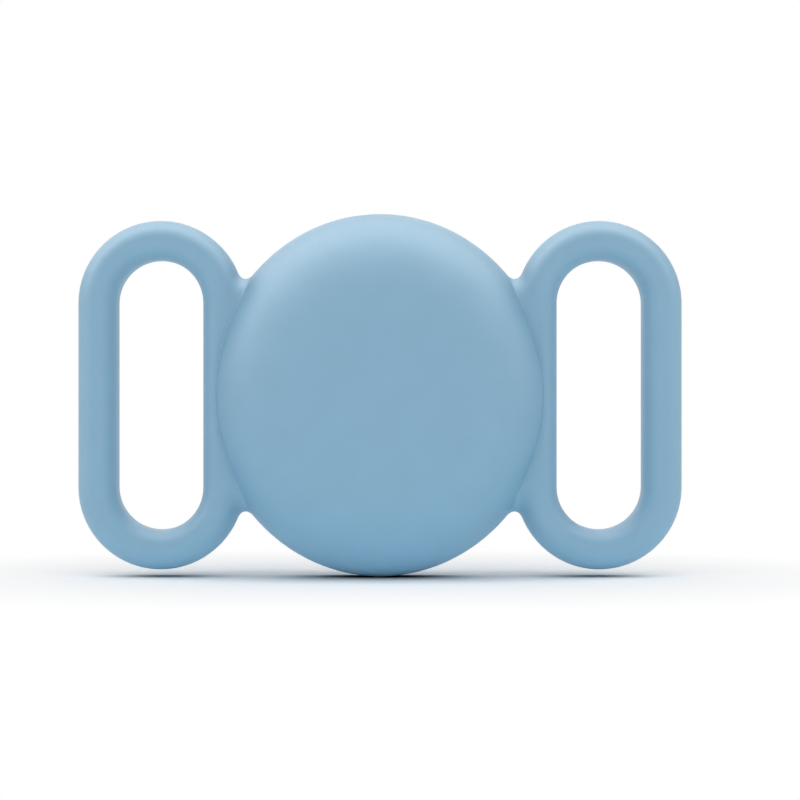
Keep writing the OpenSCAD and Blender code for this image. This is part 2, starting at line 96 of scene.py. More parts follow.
class Graph:
    """A material's node tree, with short calls for the nodes that the finishes share."""

    def __init__(self, name: str) -> None:
        """Starts a material that holds only its surface shader.

        Args:
            name: The material's name.
        """
        self.material = bpy.data.materials.new(name)
        self.material.use_nodes = True
        self.start(self.material.node_tree, "Object")
        self.shader = self.node("ShaderNodeBsdfPrincipled")
        output = self.node("ShaderNodeOutputMaterial")
        self.tree.links.new(self.shader.outputs["BSDF"], output.inputs["Surface"])

    def start(self, tree: bpy.types.NodeTree, place: str) -> None:
        """Empties a node tree and adds the coordinates that its patterns are read at.

        Args:
            tree: The node tree.
            place: The name of the coordinates.
        """
        self.tree = tree
        self.tree.nodes.clear()
        self.place = self.node("ShaderNodeTexCoord").outputs[place]

    @classmethod
    def of_tree(cls, tree: bpy.types.NodeTree) -> "Graph":
        """Starts the nodes of the surroundings, which have no surface shader.

        Args:
            tree: The surroundings' node tree.

        Returns:
            The nodes.
        """
        graph = cls.__new__(cls)
        graph.start(tree, "Generated")
        return graph

    def node(self, kind: str, **inputs: object) -> bpy.types.Node:
        """Adds a node.

        Args:
            kind: Blender's name for the node's type.
            **inputs: Values or sockets for its inputs, by name with underscores for spaces.

        Returns:
            The new node.
        """
        made = self.tree.nodes.new(kind)
        for name, value in inputs.items():
            self.feed(made.inputs[name.replace("_", " ")], value)
        return made

    def feed(self, socket: bpy.types.NodeSocket, value: object) -> None:
        """Links a socket to an input, or sets the input's own value.

        Args:
            socket: The input.
            value: A socket, a number or a tuple.
        """
        if isinstance(value, bpy.types.NodeSocket):
            self.tree.links.new(value, socket)
        else:
            socket.default_value = value

    def set(self, **inputs: object) -> None:
        """Sets inputs of the surface shader, by name with underscores for spaces."""
        for name, value in inputs.items():
            self.feed(self.shader.inputs[name.replace("_", " ")], value)

    def noise(self, size: float, detail: float = 2.0, stretch: Sequence[float] = (1, 1, 1),
              source: bpy.types.NodeSocket | None = None) -> bpy.types.NodeSocket:
        """Adds a noise pattern.

        Args:
            size: The size of its spots, in millimetres.
            detail: How many finer layers it has.
            stretch: How much longer the spots are along each axis.
            source: The place that it is read at, or None for the piece's own frame.

        Returns:
            The noise value, from 0 to 1.
        """
        scaled = self.node("ShaderNodeMapping", Vector=source or self.place,
                           Scale=tuple(1 / (size * MM * s) for s in stretch))
        return self.node("ShaderNodeTexNoise", Vector=scaled.outputs["Vector"], Scale=1.0,
                         Detail=detail).outputs["Fac"]

    def spread(self, value: bpy.types.NodeSocket, low: float, high: float,
               start: Amount = 0.0, end: Amount = 1.0) -> bpy.types.NodeSocket:
        """Maps a value from one range to another, held within the new one.

        Args:
            value: The value to map.
            low: The result where the value is at start.
            high: The result where the value is at end.
            start: Where the old range starts, which may vary from place to place.
            end: Where the old range ends, likewise.

        Returns:
            The mapped value.
        """
        mapped = self.node("ShaderNodeMapRange", Value=value, From_Min=start, From_Max=end,
                           To_Min=low, To_Max=high)
        return mapped.outputs["Result"]

    def blend(self, share: bpy.types.NodeSocket, first: object,
              second: object) -> bpy.types.NodeSocket:
        """Mixes two colours.

        Args:
            share: How much of the second colour there is.
            first: The first colour or socket.
            second: The second colour or socket.

        Returns:
            The mixed colour.
        """
        mixed = self.tree.nodes.new("ShaderNodeMix")
        mixed.data_type = "RGBA"
        for place, value in zip(MIX_INPUTS, (share, first, second)):
            self.feed(mixed.inputs[place], value)
        return mixed.outputs[MIX_OUTPUT]

    def math(self, operation: str, first: Amount, second: Amount = 0.0) -> bpy.types.NodeSocket:
        """Adds one step of arithmetic.

        Args:
            operation: Blender's name for the operation.
            first: The first number or socket.
            second: The second number or socket.

        Returns:
            The result.
        """
        step = self.tree.nodes.new("ShaderNodeMath")
        step.operation = operation
        self.feed(step.inputs[0], first)
        self.feed(step.inputs[1], second)
        return step.outputs["Value"]

    def length(self, first: bpy.types.NodeSocket,
               second: bpy.types.NodeSocket) -> bpy.types.NodeSocket:
        """Works out the length of the diagonal that two sides span.

        Args:
            first: The first side.
            second: The second side.

        Returns:
            The length.
        """
        squares = (self.math("MULTIPLY", side, side) for side in (first, second))
        return self.math("SQRT", self.math("ADD", *squares))

    def bump(self, height: bpy.types.NodeSocket, depth: float,
             below: bpy.types.NodeSocket | None = None) -> bpy.types.NodeSocket:
        """Adds fine relief.

        Args:
            height: The relief, from 0 to 1.
            depth: Its depth, in millimetres.
            below: The normal that it stands on, or None for the mesh's own.

        Returns:
            The new normal.
        """
        relief = self.node("ShaderNodeBump", Height=height, Strength=1.0, Distance=depth * MM)
        if below is not None:
            self.feed(relief.inputs["Normal"], below)
        return relief.outputs["Normal"]

    def polar(self) -> tuple[bpy.types.NodeSocket, bpy.types.NodeSocket]:
        """Reads the place about the tag's axis.

        Returns:
            The distance from the axis in metres, and the angle round it in radians.
        """
        parts = self.node("ShaderNodeSeparateXYZ", Vector=self.place)
        x, z = parts.outputs["X"], parts.outputs["Z"]
        return self.length(x, z), self.math("ARCTAN2", z, x)


@dataclass(frozen=True)
class Silicone:
    """Matt moulded silicone, with faint clouds in its pigment and a fine spark-etched grain."""

    colour: Colour = (0.474, 0.653, 0.757)
    roughness: tuple[float, float] = (0.45, 0.56)
    specular: float = 0.8
    ior: float = 1.5
    cloud: float = 3.0
    cloud_detail: float = 3.0
    cloud_tint: float = 0.008
    grain: float = 0.09
    grain_depth: float = 0.004
    dust: float = 0.35
    dust_detail: float = 4.0

    def material(self, name: str) -> bpy.types.Material:
        """Makes the material.

        Args:
            name: The material's name.

        Returns:
            The material.
        """
        graph = Graph(name)
        cloud = graph.noise(self.cloud, self.cloud_detail)
        darker = tuple(c * (1 - self.cloud_tint) for c in self.colour)
        lighter = tuple(c * (1 + self.cloud_tint) for c in self.colour)
        tint = graph.blend(graph.spread(cloud, 0, 1, *MIDDLE), linear(darker), linear(lighter))
        speck = graph.noise(self.dust, self.dust_detail)
        graph.set(Base_Color=tint, Specular_IOR_Level=self.specular, IOR=self.ior,
                  Roughness=graph.spread(speck, *self.roughness, *MIDDLE),
                  Normal=graph.bump(graph.noise(self.grain), self.grain_depth))
        return graph.material


@dataclass(frozen=True)
class GlossPlastic:
    """Polished moulded plastic, with a trace of orange peel and a few hairline scuffs."""

    colour: Colour = (0.93, 0.93, 0.925)
    warmth: Colour = (1.0, 0.995, 0.98)
    roughness: tuple[float, float] = (0.09, 0.17)
    ior: float = 1.5
    haze: float = 4.0
    haze_detail: float = 3.0
    scuff: float = 0.5
    scuff_detail: float = 5.0
    scuff_stretch: Sequence[float] = (1, 1, 8)
    scuff_roughness: float = 0.12
    scuffed: tuple[float, float] = (0.62, 0.75)
    peel: float = 1.2
    peel_detail: float = 1.0
    peel_depth: float = 0.003

    def material(self, name: str) -> bpy.types.Material:
        """Makes the material.

        Args:
            name: The material's name.

        Returns:
            The material.
        """
        graph = Graph(name)
        scuff = graph.noise(self.scuff, self.scuff_detail, self.scuff_stretch)
        haze = graph.noise(self.haze, self.haze_detail)
        rough = graph.math("ADD", graph.spread(haze, *self.roughness, *MIDDLE),
                           graph.spread(scuff, 0, self.scuff_roughness, *self.scuffed))
        warm = tuple(c * w for c, w in zip(self.colour, self.warmth))
        peel = graph.noise(self.peel, self.peel_detail)
        graph.set(Base_Color=graph.blend(haze, linear(self.colour), linear(warm)),
                  Roughness=rough, IOR=self.ior, Normal=graph.bump(peel, self.peel_depth))
        return graph.material


@dataclass(frozen=True)
class Metal:
    """Bare or plated metal with its polish, its fine marks and a little tarnish."""

    colour: Colour = (0.78, 0.78, 0.79)
    tarnish: Colour = (0.66, 0.655, 0.65)
    roughness: float = 0.18
    marks: Wear = Wear.RANDOM
    mark_depth: float = 0.0012
    tarnish_share: float = 0.35
    roughness_spread: tuple[float, float] = (-0.04, 0.07)
    mark_roughness: float = 0.08
    marked: tuple[float, float] = (0.5, 0.8)
    mark_detail: float = 3.0
    turning_w: float = 0.035
    turning_l: float = 0.8
    scratch_layers: Sequence[tuple[float, Sequence[float]]] = (
        (0.05, (40, 1, 6)),
        (0.06, (6, 1, 40)),
    )
    stain: float = 2.2
    stain_detail: float = 5.0
    stained: tuple[float, float] = (0.45, 0.75)
    smear: float = 3.5
    smear_detail: float = 4.0
    centre_r: float = 0.8

    def scratches(self, graph: Graph) -> bpy.types.NodeSocket:
        """Draws the fine marks.

        Args:
            graph: The material's nodes.

        Returns:
            The height of the marks, from 0 to 1.
        """
        if self.marks is Wear.ROUND:
            radius, angle = graph.polar()
            along = graph.math("MULTIPLY", angle, self.turning_l * MM)
            place = graph.node("ShaderNodeCombineXYZ", X=radius, Y=along)
            return graph.noise(self.turning_w, self.mark_detail, source=place.outputs["Vector"])
        layers = (graph.noise(size, self.mark_detail, stretch)
                  for size, stretch in self.scratch_layers)
        return graph.math("MULTIPLY", graph.math("ADD", *layers), 1 / len(self.scratch_layers))

    def material(self, name: str) -> bpy.types.Material:
        """Makes the material.

        Args:
            name: The material's name.

        Returns:
            The material.
        """
        graph = Graph(name)
        stain = graph.noise(self.stain, self.stain_detail)
        share = graph.spread(stain, 0, self.tarnish_share, *self.stained)
        marks = self.scratches(graph)
        smear = graph.noise(self.smear, self.smear_detail)
        smooth, dull = (self.roughness + change for change in self.roughness_spread)
        rough = graph.math("ADD", graph.spread(smear, smooth, dull, *MIDDLE),
                           graph.spread(marks, 0, self.mark_roughness, *self.marked))
        # A round plate's smooth normals pinch at its centre, so its flat face's own is taken there
        radius, _ = graph.polar()
        shape = graph.node("ShaderNodeNewGeometry").outputs
        centre = graph.math("LESS_THAN", radius, self.centre_r * MM)
        steady = graph.blend(centre, shape["Normal"], shape["True Normal"])
        graph.set(Base_Color=graph.blend(share, linear(self.colour), linear(self.tarnish)),
                  Metallic=1.0, Roughness=rough, Normal=graph.bump(marks, self.mark_depth, steady))
        return graph.material


@dataclass(frozen=True)
class SolderMask:
    """The board's green mask, with tracks showing through it and woven laminate at its sides."""

    mask: Colour = (0.07, 0.27, 0.19)
    track: Colour = (0.12, 0.38, 0.26)
    laminate: Colour = (0.55, 0.52, 0.36)
    fibre: Colour = (0.44, 0.416, 0.288)
    track_pitch: float = 0.55
    track_edge: tuple[float, float] = (0.2, 0.26)
    sectors_per_radian: float = 4.0
    bare_share: float = 0.35
    side_from: tuple[float, float] = (0.3, 0.6)
    roughness: tuple[float, float] = (0.28, 0.7)
    weave: float = 0.12
    weave_stretch: Sequence[float] = (1, 6, 1)
    weave_relief: float = 0.15
    relief: float = 0.02

    def material(self, name: str) -> bpy.types.Material:
        """Makes the material.

        Args:
            name: The material's name.

        Returns:
            The material.
        """
        graph = Graph(name)
        radius, angle = graph.polar()
        rings = graph.math("DIVIDE", radius, self.track_pitch * MM)
        middle = graph.math("ABSOLUTE", graph.math("SUBTRACT", graph.math("FRACT", rings), 0.5))
        on_ring = graph.spread(middle, 1, 0, *self.track_edge)
        turned = graph.math("MULTIPLY", angle, self.sectors_per_radian)
        sectors = graph.node("ShaderNodeCombineXYZ", X=graph.math("FLOOR", rings),
                             Y=graph.math("FLOOR", turned))
        chance = graph.node("ShaderNodeTexWhiteNoise", Vector=sectors.outputs["Vector"])
        drawn = graph.math("GREATER_THAN", chance.outputs["Value"], self.bare_share)
        track = graph.math("MULTIPLY", on_ring, drawn)
        coloured = graph.blend(track, linear(self.mask), linear(self.track))
        normal = graph.node("ShaderNodeNewGeometry").outputs["Normal"]
        parts = graph.node("ShaderNodeSeparateXYZ", Vector=normal).outputs
        facing = graph.math("ABSOLUTE", parts["Y"])
        edge = graph.spread(facing, 1, 0, *self.side_from)
        weave = graph.noise(self.weave, stretch=self.weave_stretch)
        fibre = graph.blend(weave, linear(self.laminate), linear(self.fibre))
        relief = graph.math("ADD", track, graph.math("MULTIPLY", weave, self.weave_relief))
        graph.set(Base_Color=graph.blend(edge, coloured, fibre),
                  Roughness=graph.spread(edge, *self.roughness),
                  Normal=graph.bump(relief, self.relief))
        return graph.material


@dataclass(frozen=True)
class Grainy:
    """A dull moulded, sintered or pressed stuff: its colour, its grain and its pores."""

    colour: Colour
    fleck: Colour
    roughness: float = 0.6
    grain: float = 0.12
    depth: float = 0.006
    sheen: float = 0.0
    detail: float = 3.0
    patch_grains: float = 9.0
    patch_least: float = 0.4
    flecked: tuple[float, float] = (0.4, 0.65)
    roughness_spread: float = 0.06

    def material(self, name: str) -> bpy.types.Material:
        """Makes the material.

        Args:
            name: The material's name.

        Returns:
            The material.
        """
        graph = Graph(name)
        grain = graph.noise(self.grain, self.detail)
        patch = graph.noise(self.grain * self.patch_grains, self.detail)
        share = graph.math("MULTIPLY", graph.spread(grain, 0, 1, *self.flecked),
                           graph.spread(patch, self.patch_least, 1, *MIDDLE))
        smooth = self.roughness - self.roughness_spread
        dull = self.roughness + self.roughness_spread
        graph.set(Base_Color=graph.blend(share, linear(self.colour), linear(self.fleck)),
                  Roughness=graph.spread(patch, smooth, dull, *MIDDLE),
                  Normal=graph.bump(grain, self.depth), Sheen_Weight=self.sheen)
        return graph.material


# What makes a finish's material
Recipe = Silicone | GlossPlastic | Metal | SolderMask | Grainy


class Finish(Enum):
    """The finishes, each with the record's material slot that it stands for."""

    SILICONE = ("silicone", Silicone())
    WHITE_PLASTIC = ("white_plastic", GlossPlastic())
    COVER_STEEL = ("cover_steel", Metal((0.80, 0.80, 0.81), (0.72, 0.72, 0.72), 0.16,
                                        Wear.RANDOM, 0.0010, 0.2))
    CELL_STEEL = ("cell_steel", Metal((0.76, 0.76, 0.77), (0.66, 0.65, 0.62), 0.26,
                                      Wear.ROUND, 0.0016))
    TIN_PLATE = ("tin_plate", Metal((0.72, 0.73, 0.74), (0.58, 0.58, 0.57), 0.34,
                                    Wear.RANDOM, 0.0020))
    MAGNET = ("magnet", Metal((0.47, 0.48, 0.50), (0.36, 0.36, 0.37), 0.30,
                              Wear.ROUND, 0.0020))
    COPPER = ("copper", Metal((0.80, 0.50, 0.32), (0.50, 0.30, 0.20), 0.28,
                              Wear.ROUND, 0.0020, 0.5))
    CONTACT_GOLD = ("contact_gold", Metal((0.87, 0.70, 0.38), (0.74, 0.56, 0.28), 0.20,
                                          Wear.RANDOM, 0.0012))
    BOARD = ("board", SolderMask())
    CHIP = ("chip", Grainy((0.10, 0.10, 0.11), (0.17, 0.17, 0.18), 0.55, 0.08, 0.004))
    BOARD_PART = ("board_part", Grainy((0.66, 0.58, 0.46), (0.50, 0.43, 0.33), 0.45, 0.05, 0.003))
    GASKET = ("gasket", Grainy((0.12, 0.12, 0.125), (0.18, 0.18, 0.185), 0.62, 0.15, 0.006, 0.2))
    PELLET = ("pellet", Grainy((0.24, 0.24, 0.25), (0.36, 0.36, 0.37), 0.8, 0.10, 0.012))

    def __init__(self, slot: str, recipe: Recipe) -> None:
        """Keeps the slot's name and the recipe.

        Args:
            slot: The record's material slot.
            recipe: The dataclass that makes the material.
        """
        self.slot = slot
        self.recipe = recipe

    def dress(self, piece: bpy.types.Object) -> None:
        """Gives a piece this finish as its only material.

        Args:
            piece: The piece to dress.
        """
        name = f"finish_{self.slot}"
        material = bpy.data.materials.get(name) or self.recipe.material(name)
        piece.data.materials.clear()
        piece.data.materials.append(material)


def rounded_union(first: Array, second: Array, radius: Array | float) -> Array:
    """Joins two distance fields with a round fillet between them.

    Args:
        first: Distances to the first shape.
        second: Distances to the second shape.
        radius: The fillet's radius, which may vary from place to place.

    Returns:
        Distances to both shapes together.
    """
    a, b = np.maximum(radius - first, 0), np.maximum(radius - second, 0)
    return np.maximum(radius, np.minimum(first, second)) - np.hypot(a, b)


def rounded_cut(solid: Array, hole: Array, radius: float) -> Array:
    """Cuts one distance field out of another and rounds the edge that this leaves.

    Args:
        solid: Distances to the shape that is cut.
        hole: Distances to the shape that is taken away.
        radius: The edge's radius.

    Returns:
        Distances to what is left.
    """
    a, b = np.maximum(radius + solid, 0), np.maximum(radius - hole, 0)
    return np.minimum(-radius, np.maximum(solid, -hole)) + np.hypot(a, b)


def grid_axis(low: float, high: float, coarse: float, fine: float, at: Sequence[float],
              width: float) -> Array:
    """Spaces grid lines along one axis, closer together about some places.

    Args:
        low: The shape's lowest place on the axis.
        high: Its highest place.
        coarse: The spacing away from the fine places.
        fine: The spacing at them.
        at: The fine places.
        width: How far each of them reaches on both sides.

    Returns:
        The places of the grid lines, with one beyond each end of the shape.
    """
    along = np.linspace(low - 2 * coarse, high + 2 * coarse, SPACING_STEPS + 1)
    near = sum((np.exp(-((along - place) / width) ** 4) for place in at), np.zeros_like(along))
    density = 1 / coarse + (1 / fine - 1 / coarse) * np.minimum(near, 1)
    count = np.concatenate([[0], np.cumsum((density[1:] + density[:-1]) / 2 * np.diff(along))])
    return np.interp(np.linspace(0, count[-1], math.ceil(count[-1]) + 1), count, along)


@dataclass
class SurfaceNet:
    """Meshes the zero level of a distance field with evenly spread four-sided faces.

    The faces come from a grid, and each point is then eased along the surface and put back on it.
    """

    shape: Field
    axes: Sequence[Array]
    reach: float = 0.3
    rounds: int = 3
    easing: int = 4
    easing_share: float = 0.5
    probe: float = 0.02
    least_square: float = 0.05

    def net(self) -> tuple[Array, Array]:
        """Puts one point in each grid cell that the surface crosses and joins them.

        Returns:
            The points and the four-sided faces.
        """
        x, y, z = (axis.astype(np.float32) for axis in self.axes)
        values = self.shape(x[:, None, None], y[None, :, None], z[None, None, :])
        inside = values < 0
        corners = [(i, j, k) for i in (0, 1) for j in (0, 1) for k in (0, 1)]
        cut = [slice(0, -1), slice(1, None)]
        count = sum(inside[cut[i], cut[j], cut[k]].astype(np.int8) for i, j, k in corners)
        cells = np.argwhere((count > 0) & (count < 8))
        number = np.full(count.shape, -1, np.int64)
        number[tuple(cells.T)] = np.arange(len(cells))
        total, crossings = np.zeros((len(cells), 3)), np.zeros(len(cells))
        for first in corners:
            for axis in range(3):
                if first[axis]:
                    continue
                second = tuple(c + (a == axis) for a, c in enumerate(first))
                a, b = (values[tuple((cells + c).T)] for c in (first, second))
                crossed = (a < 0) != (b < 0)
                share = np.where(crossed, a / np.where(crossed, a - b, 1), 0)
                point = np.array(first, float) + share[:, None] * np.eye(3)[axis]
                total += point * crossed[:, None]
                crossings += crossed
        places = cells + total / crossings[:, None]
        points = [np.interp(places[:, i], np.arange(len(axis)), axis)
                  for i, axis in enumerate(self.axes)]
        return np.stack(points, axis=1), self.faces(inside, number)

    @staticmethod
    def faces(inside: Array, number: Array) -> Array:
        """Joins the four cells round each grid edge that the surface crosses.

        Args:
            inside: Whether each grid point is inside the shape.
            number: The number of each cell's point, or -1.

        Returns:
            The faces, each facing out of the shape.
        """
        made = []
        for axis in range(3):
            near, far = [slice(None)] * 3, [slice(None)] * 3
            near[axis], far[axis] = slice(0, -1), slice(1, None)
            leaving = inside[tuple(near)] & ~inside[tuple(far)]
            entering = ~inside[tuple(near)] & inside[tuple(far)]
            second, third = (axis + 1) % 3, (axis + 2) % 3
            for edges, order in ((leaving, (0, 1, 2, 3)), (entering, (3, 2, 1, 0))):
                at = np.argwhere(edges)
                ring = []
                for back in ((1, 1), (0, 1), (0, 0), (1, 0)):
                    cell = at.copy()
                    cell[:, second] -= back[0]
                    cell[:, third] -= back[1]
                    ring.append(number[tuple(cell.T)])
                made.append(np.stack([ring[i] for i in order], axis=1))
        return np.concatenate(made)

    def slope(self, points: Array) -> tuple[Array, Array]:
        """Reads the field and its slope at points.

        Args:
            points: The points.

        Returns:
            The values and the slopes.
        """
        slopes = []
        for axis in range(3):
            ahead, behind = points.copy(), points.copy()
            ahead[:, axis] += self.probe
            behind[:, axis] -= self.probe
            slopes.append((self.shape(*ahead.T) - self.shape(*behind.T)) / (2 * self.probe))
        return self.shape(*points.T), np.stack(slopes, axis=1)

    def settle(self, points: Array, rounds: int) -> Array:
        """Moves points onto the surface.

        Args:
            points: The points.
            rounds: How many times they are moved.

        Returns:
            The moved points.
        """
        for _ in range(rounds):
            value, slope = self.slope(points)
            reach = value / np.maximum((slope ** 2).sum(1), self.least_square)
            points = points - np.clip(reach, -self.reach, self.reach)[:, None] * slope
        return points

    def eased(self, points: Array, quads: Array) -> Array:
        """Spreads points evenly along the surface.

        Args:
            points: The points on the surface.
            quads: The faces that join them.

        Returns:
            The moved points.
        """
        sides = np.concatenate([quads[:, [i, (i + 1) % 4]] for i in range(4)])
        count = np.bincount(sides[:, 0], minlength=len(points))
        for _ in range(self.easing):
            totals = [np.bincount(sides[:, 0], points[sides[:, 1], axis], len(points))
                      for axis in range(3)]
            mean = np.stack(totals, axis=1) / count[:, None]
            points = self.settle(points + self.easing_share * (mean - points), 1)
        return self.settle(points, self.rounds)

    def mesh(self, name: str) -> bpy.types.Mesh:
        """Makes the mesh, with normals read from the field so that fillets shade smoothly.

        Args:
            name: The mesh's name.

        Returns:
            The mesh, in metres.
        """
        points, quads = self.net()
        points = self.eased(self.settle(points, self.rounds), quads)
        _, normals = self.slope(points)
        normals /= np.linalg.norm(normals, axis=1)[:, None]
        made = bpy.data.meshes.new(name)
        made.from_pydata((points * MM).tolist(), [], quads.tolist())
        made.shade_smooth()
        made.normals_split_custom_set_from_vertices(normals.tolist())
        LOG.info("%s: %d points, %d faces", name, len(points), len(quads))
        return made


@dataclass(frozen=True)
class Edge:
    """A rounded edge between a plate's side and its face."""

    reach: float
    depth: float
    power: float = 2.0

    def distance(self, side: Array, face: Array) -> Array:
        """Distances to a plate with this edge.

        Args:
            side: Distances beyond the plate's side.
            face: Distances beyond its face.

        Returns:
            The distances.
        """
        a = side + self.reach
        b = (face + self.depth) * self.reach / self.depth
        powers = np.maximum(a, 0) ** self.power + np.maximum(b, 0) ** self.power
        return np.minimum(np.maximum(a, b), 0) + powers ** (1 / self.power) - self.reach


@dataclass
class Holder:
    """The silicone moulding: the domed oval disc, its two strap loops, its pocket and its lip."""

    disc_r: float = 17.55
    oval_stretch: float = 18.70 / 17.55
    disc_t: float = 10.52
    band_h: float = 2.2
    crown_power: float = 3.2
    side_power: float = 1.75
    disc_back_r: float = 1.2
    loop_x: float = 22.625
    loop_end: float = 9.475
    slot_w: float = 8.85
    bar_w: float = 4.1
    loop_t: float = 4.8
    outer_edges: Sequence[Edge] = (Edge(2.1, 2.8), Edge(1.2, 1.2))
    slot_edges: Sequence[Edge] = (Edge(1.6, 1.9, 1.8), Edge(0.9, 0.9))
    crease_w: float = 0.2
    crease_depth: float = 0.05
    crease_from: float = 14.0
    notch_r: float = 1.55
    pocket_edge_r: float = 0.05
    pocket_r: float = 16.07
    pocket_dome: float = 4.72
    pocket_widest: float = 4.0
    pocket_power: float = 2.5
    bed_r: float = 14.7
    bed_power: float = 2.2
    lip_t: float = 1.2
    opening_r: float = 13.0
    lip_edge_r: float = 0.4
    # The mesh is finer about the crease, the loops' front face and the webs
    crease_in: float = 1.4
    web_out: float = 3.2
    fine_widths: Sequence[float] = (2.6, 1.0, 1.8)
    step: float = field(default_factory=lambda: 0.325)

    def disc(self, x: Array, z: Array, h: Array) -> Array:
        """Distances to the domed disc.

        Args:
            x: Places along the strap.
            z: Places across the strap.
            h: Heights above the back face.

        Returns:
            The distances.
        """
        r = np.hypot(x, z / self.oval_stretch) / self.disc_r
        rise = np.maximum(h - self.band_h, 0) / (self.disc_t - self.band_h)
        level = r ** self.crown_power + rise ** self.side_power
        sideways = self.crown_power * r ** (self.crown_power - 1) / self.disc_r
        upwards = self.side_power * rise ** (self.side_power - 1) / (self.disc_t - self.band_h)
        dome = (level - 1) / np.maximum(np.hypot(sideways, upwards), LEAST_SLOPE)
        side = (r - 1) * self.disc_r + self.disc_back_r
        down = self.disc_back_r - h
        corner = np.hypot(np.maximum(side, 0), np.maximum(down, 0))
        band = np.minimum(np.maximum(side, down), 0) + corner - self.disc_back_r
        return np.where(h > self.band_h, dome, band)

    def plate(self, x: Array, z: Array, h: Array) -> Array:
        """Distances to the plate under the disc: both strap loops and the webs in the notches.

        Args:
            x: Places along the strap.
            z: Places across the strap.
            h: Heights above the back face.

        Returns:
            The distances.
        """
        r = np.hypot(x, z / self.oval_stretch)
        steepness = np.hypot(x, z / self.oval_stretch ** 2)
        oval = (r - self.disc_r) * r / np.maximum(steepness, LEAST_LENGTH)
        spine = np.hypot(np.abs(x) - self.loop_x, np.maximum(np.abs(z) - self.loop_end, 0))
        outline = rounded_union(oval, spine - self.slot_w / 2 - self.bar_w, self.notch_r)
        slot = self.slot_w / 2 - spine
        up = h - self.loop_t / 2
        face = np.abs(up) - self.loop_t / 2
        sides = []
        for side, (front, back) in ((outline, self.outer_edges), (slot, self.slot_edges)):
            sides.append(np.where(up > 0, front.distance(side, face), back.distance(side, face)))
        return np.maximum(*sides)

    def pocket(self, x: Array, z: Array, h: Array) -> Array:
        """Distances to the room that the tag sits in.

        Args:
            x: Places along the strap.
            z: Places across the strap.
            h: Heights above the back face.

        Returns:
            The distances.
        """
        r = np.hypot(x, z)
        above = h > self.pocket_widest
        power = np.where(above, self.pocket_power, self.bed_power)
        width = np.where(above, self.pocket_r, self.pocket_r - self.bed_r)
        height = np.where(above, self.pocket_dome, self.pocket_widest - self.lip_t)
        u = np.where(above, r, np.maximum(r - self.bed_r, 0)) / width
        v = np.abs(h - self.pocket_widest) / height
        level = (u ** power + v ** power) ** (1 / power)
        safe = np.maximum(level, LEAST_LENGTH)
        slope = np.hypot((u / safe) ** (power - 1) / width, (v / safe) ** (power - 1) / height)
        return (level - 1) / slope

    def distance(self, x: Array, y: Array, z: Array) -> Array:
        """Distances to the whole moulding.

        Args:
            x: Places along the strap.
            y: Places behind the back face.
            z: Places across the strap.

        Returns:
            The distances.
        """
        h = -y
        disc, plate = self.disc(x, z, h), self.plate(x, z, h)
        beside = np.clip(np.abs(x) - self.crease_from, 0, 1) * np.clip(h - self.band_h, 0, 1)
        groove = self.crease_depth * beside * np.exp(-((disc - plate) / self.crease_w) ** 2)
        solid = np.minimum(disc, plate) + groove
        opening = np.hypot(x, z) - self.opening_r
        bore = np.maximum(opening, h - self.lip_t - self.lip_edge_r)
        room = rounded_cut(solid, self.pocket(x, z, h), self.pocket_edge_r)
        return rounded_cut(room, bore, self.lip_edge_r)

    def build(self) -> bpy.types.Object:
        """Makes the moulding.

        Returns:
            The moulding, riding on the holder.
        """
        far_x = self.loop_x + self.slot_w / 2 + self.bar_w
        far_z = self.disc_r * self.oval_stretch
        crease_x, web_z = self.disc_r - self.crease_in, self.loop_end + self.web_out
        spans = ((-far_x, far_x), (-self.disc_t, 0), (-far_z, far_z))
        fine_at = ((-crease_x, crease_x), (-self.loop_t,), (-web_z, web_z))
        axes = [grid_axis(low, high, self.step, self.step / 2, at, width)
                for (low, high), at, width in zip(spans, fine_at, self.fine_widths)]
        net = SurfaceNet(self.distance, axes)
        piece = bpy.data.objects.new("silicone_holder", net.mesh("silicone_holder"))
        bpy.context.scene.collection.objects.link(piece)
        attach(piece, Body.HOLDER.value)
        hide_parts("holder_body", "retaining_lip")
        Finish.SILICONE.dress(piece)
        return piece


@dataclass
class Tag:
    """The tracker tag's own pieces, which keep their CAD shapes."""

    finishes: dict[str, Finish] = field(default_factory=lambda: {
        "front_shell": Finish.WHITE_PLASTIC,
        "inner_carrier": Finish.WHITE_PLASTIC,
        "antenna_ring": Finish.COPPER,
        "circuit_board": Finish.BOARD,
        "shield_can": Finish.TIN_PLATE,
        "processor_chip": Finish.CHIP,
        "radio_chip": Finish.CHIP,
        "motion_sensor": Finish.CHIP,
        "board_parts": Finish.BOARD_PART,
        "magnet_cup": Finish.TIN_PLATE,
        "speaker_magnet": Finish.MAGNET,
        "voice_coil": Finish.COPPER,
        "negative_contact": Finish.CONTACT_GOLD,
        "positive_contacts": Finish.CONTACT_GOLD,
        "cell_can": Finish.CELL_STEEL,
        "cell_gasket": Finish.GASKET,
        "cell_cap": Finish.CELL_STEEL,
        "cell_core": Finish.PELLET,
        "battery_cover": Finish.COVER_STEEL,
        "latch_ring": Finish.WHITE_PLASTIC,
        "cover_seal": Finish.GASKET,
    })

    def build(self) -> list[bpy.types.Object]:
        """Dresses the tag's CAD pieces.

        Returns:
            The dressed pieces.
        """
        pieces = []
        for node, finish in self.finishes.items():
            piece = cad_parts[node]
            finish.dress(piece)
            pieces.append(piece)
        return pieces


